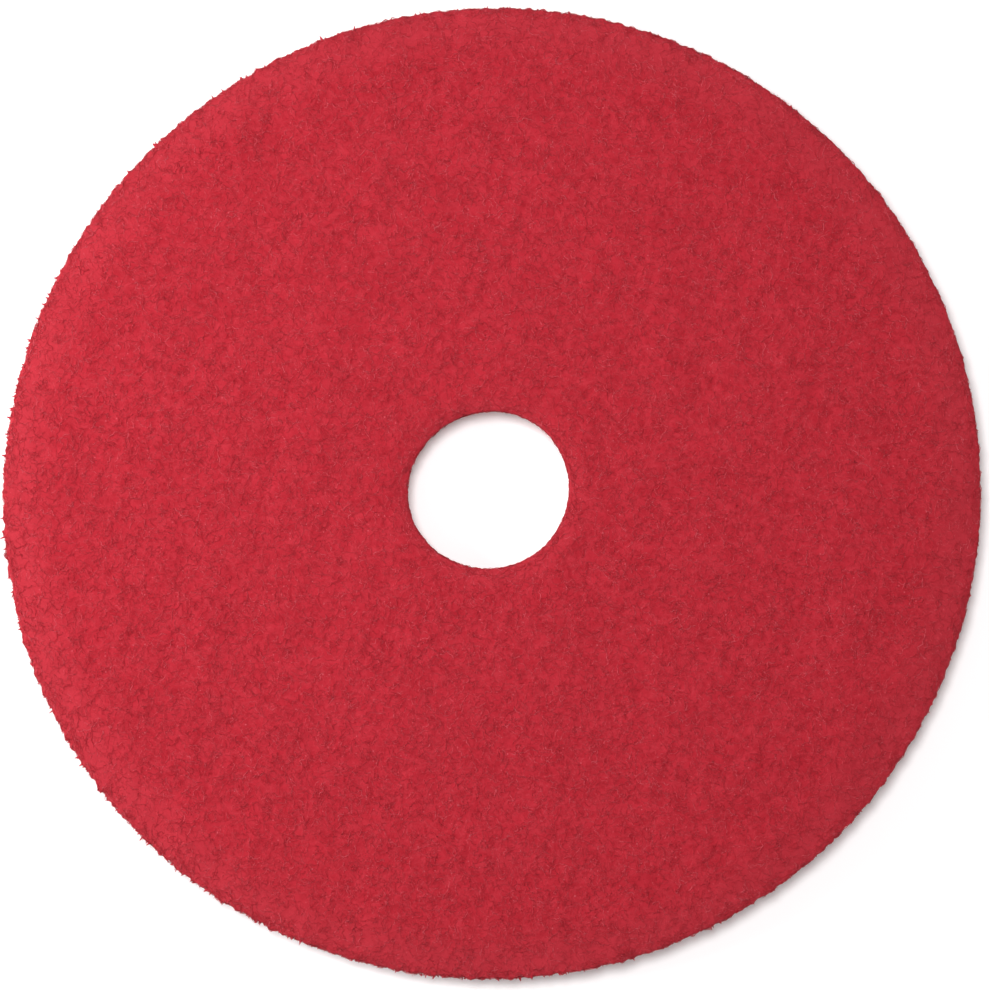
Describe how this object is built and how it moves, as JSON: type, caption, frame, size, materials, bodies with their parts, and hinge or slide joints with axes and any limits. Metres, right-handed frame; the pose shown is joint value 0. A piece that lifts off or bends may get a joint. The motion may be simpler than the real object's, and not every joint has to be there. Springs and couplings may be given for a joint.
{
  "type": "floor pad",
  "caption": "Round non-woven fibre pad with an open centre hole, driven flat against a floor by a rotary floor machine to buff or scrub it.",
  "frame": {"origin": "centre of the pad's underside, on the axis of the disc", "axes": "+Z along the disc's axis, from the underside to the top face; the pad is round, so +X and +Y lie anywhere in its plane"},
  "size_m": [0.508, 0.5078, 0.0254],
  "materials": {
    "fibre_web": "matte"
  },
  "bodies": {
    "root": {"pad_web": "fibre_web"}
  },
  "joints": []
}
